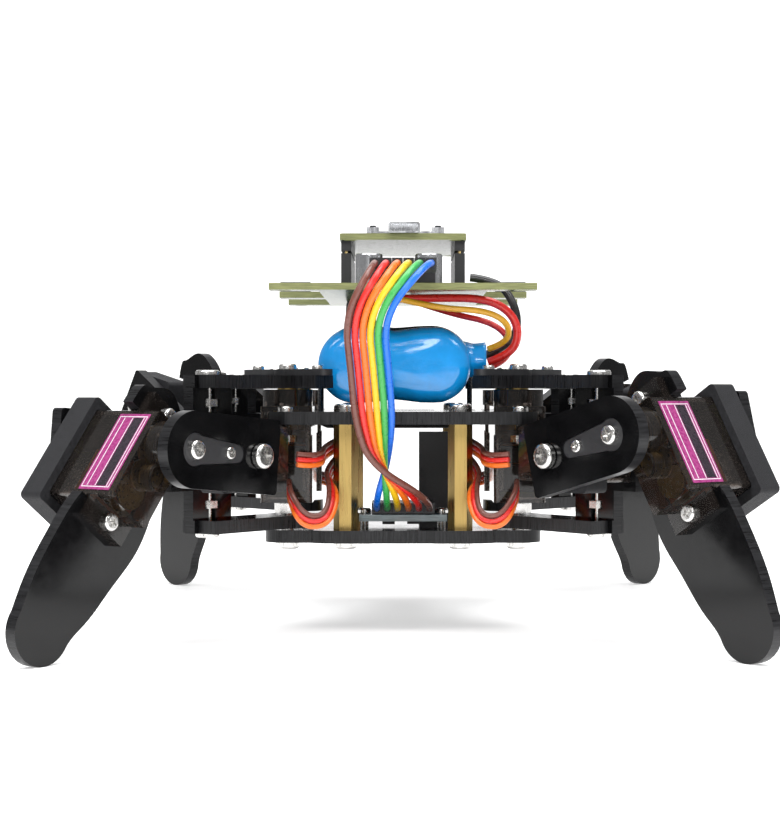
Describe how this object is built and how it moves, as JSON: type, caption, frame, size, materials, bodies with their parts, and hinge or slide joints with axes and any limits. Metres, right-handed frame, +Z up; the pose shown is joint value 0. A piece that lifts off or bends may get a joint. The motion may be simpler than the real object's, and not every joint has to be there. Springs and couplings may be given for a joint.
{
  "type": "quadruped robot dog",
  "caption": "Walking robot on four jointed legs: acrylic plates, micro servos at yaw, hip and knee, battery pack and stacked control boards",
  "frame": {"origin": "centre of the bounding box in plan, at floor level under the feet", "axes": "+Z up, front (connector side) towards -Y, robot's length along Y"},
  "size_m": [0.165, 0.1874, 0.0986],
  "materials": {
    "black_acrylic": "laser-cut gloss black acrylic sheet",
    "plated_steel": "nickel-plated screws and nuts",
    "brass_and_steel": "brass hex standoffs with plated screws",
    "smoke_case": "smoky translucent servo case",
    "printed_cap": "printed dark grey plastic",
    "blue_wrap": "glossy blue heat-shrink",
    "strap": "woven black strap",
    "foam": "black foam pad",
    "circuit_green": "olive solder mask over fibreglass",
    "black_nylon": "black moulded housings and horns",
    "wire_insulation": "glossy coloured wire insulation",
    "key": "moulded key"
  },
  "bodies": {
    "chassis": {"bottom_plate": "black_acrylic", "middle_plate": "black_acrylic", "standoffs_and_screws": "brass_and_steel", "yaw_servos": "smoke_case", "battery_pack": "blue_wrap", "battery_strap": "strap", "board_pad": "foam", "controller_board": "circuit_green", "wifi_board": "circuit_green", "sensor_board": "circuit_green", "wire_housings": "black_nylon", "jumper_wires": "wire_insulation", "battery_leads": "wire_insulation", "servo_leads": "wire_insulation"},
    "reset_key": {"reset_button": "key"},
    "flash_key": {"flash_button": "key"},
    "front_right_coxa": {"front_right_coxa_plates": "black_acrylic", "front_right_coxa_side_plate": "black_acrylic", "front_right_hip_servo": "smoke_case", "front_right_hip_bracket": "printed_cap", "front_right_coxa_hardware": "plated_steel"},
    "front_right_femur": {"front_right_femur_front_link": "black_acrylic", "front_right_femur_rear_link": "black_acrylic", "front_right_femur_hardware": "plated_steel"},
    "front_right_tibia": {"front_right_tibia_plate": "black_acrylic", "front_right_knee_servo": "smoke_case", "front_right_knee_bracket": "printed_cap"},
    "front_left_coxa": {"front_left_coxa_plates": "black_acrylic", "front_left_coxa_side_plate": "black_acrylic", "front_left_hip_servo": "smoke_case", "front_left_hip_bracket": "printed_cap", "front_left_coxa_hardware": "plated_steel"},
    "front_left_femur": {"front_left_femur_front_link": "black_acrylic", "front_left_femur_rear_link": "black_acrylic", "front_left_femur_hardware": "plated_steel"},
    "front_left_tibia": {"front_left_tibia_plate": "black_acrylic", "front_left_knee_servo": "smoke_case", "front_left_knee_bracket": "printed_cap"},
    "rear_left_coxa": {"rear_left_coxa_plates": "black_acrylic", "rear_left_coxa_side_plate": "black_acrylic", "rear_left_hip_servo": "smoke_case", "rear_left_hip_bracket": "printed_cap", "rear_left_coxa_hardware": "plated_steel"},
    "rear_left_femur": {"rear_left_femur_front_link": "black_acrylic", "rear_left_femur_rear_link": "black_acrylic", "rear_left_femur_hardware": "plated_steel"},
    "rear_left_tibia": {"rear_left_tibia_plate": "black_acrylic", "rear_left_knee_servo": "smoke_case", "rear_left_knee_bracket": "printed_cap"},
    "rear_right_coxa": {"rear_right_coxa_plates": "black_acrylic", "rear_right_coxa_side_plate": "black_acrylic", "rear_right_hip_servo": "smoke_case", "rear_right_hip_bracket": "printed_cap", "rear_right_coxa_hardware": "plated_steel"},
    "rear_right_femur": {"rear_right_femur_front_link": "black_acrylic", "rear_right_femur_rear_link": "black_acrylic", "rear_right_femur_hardware": "plated_steel"},
    "rear_right_tibia": {"rear_right_tibia_plate": "black_acrylic", "rear_right_knee_servo": "smoke_case", "rear_right_knee_bracket": "printed_cap"}
  },
  "joints": [
    {"name": "front_right_yaw", "type": "hinge", "parent": "chassis", "child": "front_right_coxa", "pos_m": [0.0275, -0.02435, 0.0425], "axis": [0, 0, -1], "range_deg": [-40, 10]},
    {"name": "front_right_hip", "type": "hinge", "parent": "front_right_coxa", "child": "front_right_femur", "pos_m": [0.04695, -0.04836, 0.0425], "axis": [-0.7771, -0.6293, 0], "range_deg": [-20, 20]},
    {"name": "front_right_knee", "type": "hinge", "parent": "front_right_femur", "child": "front_right_tibia", "pos_m": [0.05913, -0.06341, 0.0475], "axis": [-0.7771, -0.6293, 0], "range_deg": [-20, 15]},
    {"name": "front_left_yaw", "type": "hinge", "parent": "chassis", "child": "front_left_coxa", "pos_m": [-0.0275, -0.02435, 0.0425], "axis": [0, 0, 1], "range_deg": [-40, 10]},
    {"name": "front_left_hip", "type": "hinge", "parent": "front_left_coxa", "child": "front_left_femur", "pos_m": [-0.04674, -0.04853, 0.0425], "axis": [-0.7826, 0.6225, 0], "range_deg": [-15, 12]},
    {"name": "front_left_knee", "type": "hinge", "parent": "front_left_femur", "child": "front_left_tibia", "pos_m": [-0.05913, -0.06412, 0.04438], "axis": [-0.7826, 0.6225, 0], "range_deg": [-15, 10]},
    {"name": "rear_left_yaw", "type": "hinge", "parent": "chassis", "child": "rear_left_coxa", "pos_m": [-0.0275, 0.03965, 0.0425], "axis": [0, 0, 1], "range_deg": [-10, 40]},
    {"name": "rear_left_hip", "type": "hinge", "parent": "rear_left_coxa", "child": "rear_left_femur", "pos_m": [-0.04897, 0.06188, 0.0425], "axis": [0.7193, 0.6947, 0], "range_deg": [-15, 6]},
    {"name": "rear_left_knee", "type": "hinge", "parent": "rear_left_femur", "child": "rear_left_tibia", "pos_m": [-0.06085, 0.07419, 0.05285], "axis": [0.7193, 0.6947, 0], "range_deg": [-3, 20]},
    {"name": "rear_right_yaw", "type": "hinge", "parent": "chassis", "child": "rear_right_coxa", "pos_m": [0.0275, 0.03965, 0.0425], "axis": [0, 0, -1], "range_deg": [-10, 40]},
    {"name": "rear_right_hip", "type": "hinge", "parent": "rear_right_coxa", "child": "rear_right_femur", "pos_m": [0.04935, 0.0615, 0.0425], "axis": [0.7071, -0.7071, 0], "range_deg": [-28, 10]},
    {"name": "rear_right_knee", "type": "hinge", "parent": "rear_right_femur", "child": "rear_right_tibia", "pos_m": [0.06191, 0.07406, 0.05168], "axis": [0.7071, -0.7071, 0], "range_deg": [-8, 28]},
    {"name": "reset_press", "type": "slide", "parent": "chassis", "child": "reset_key", "axis": [0, 0, -1], "range_m": [0, 0.00025], "stiffness_N_per_m": 600, "springref_m": -0.0003},
    {"name": "flash_press", "type": "slide", "parent": "chassis", "child": "flash_key", "axis": [0, 0, -1], "range_m": [0, 0.00025], "stiffness_N_per_m": 600, "springref_m": -0.0003}
  ]
}
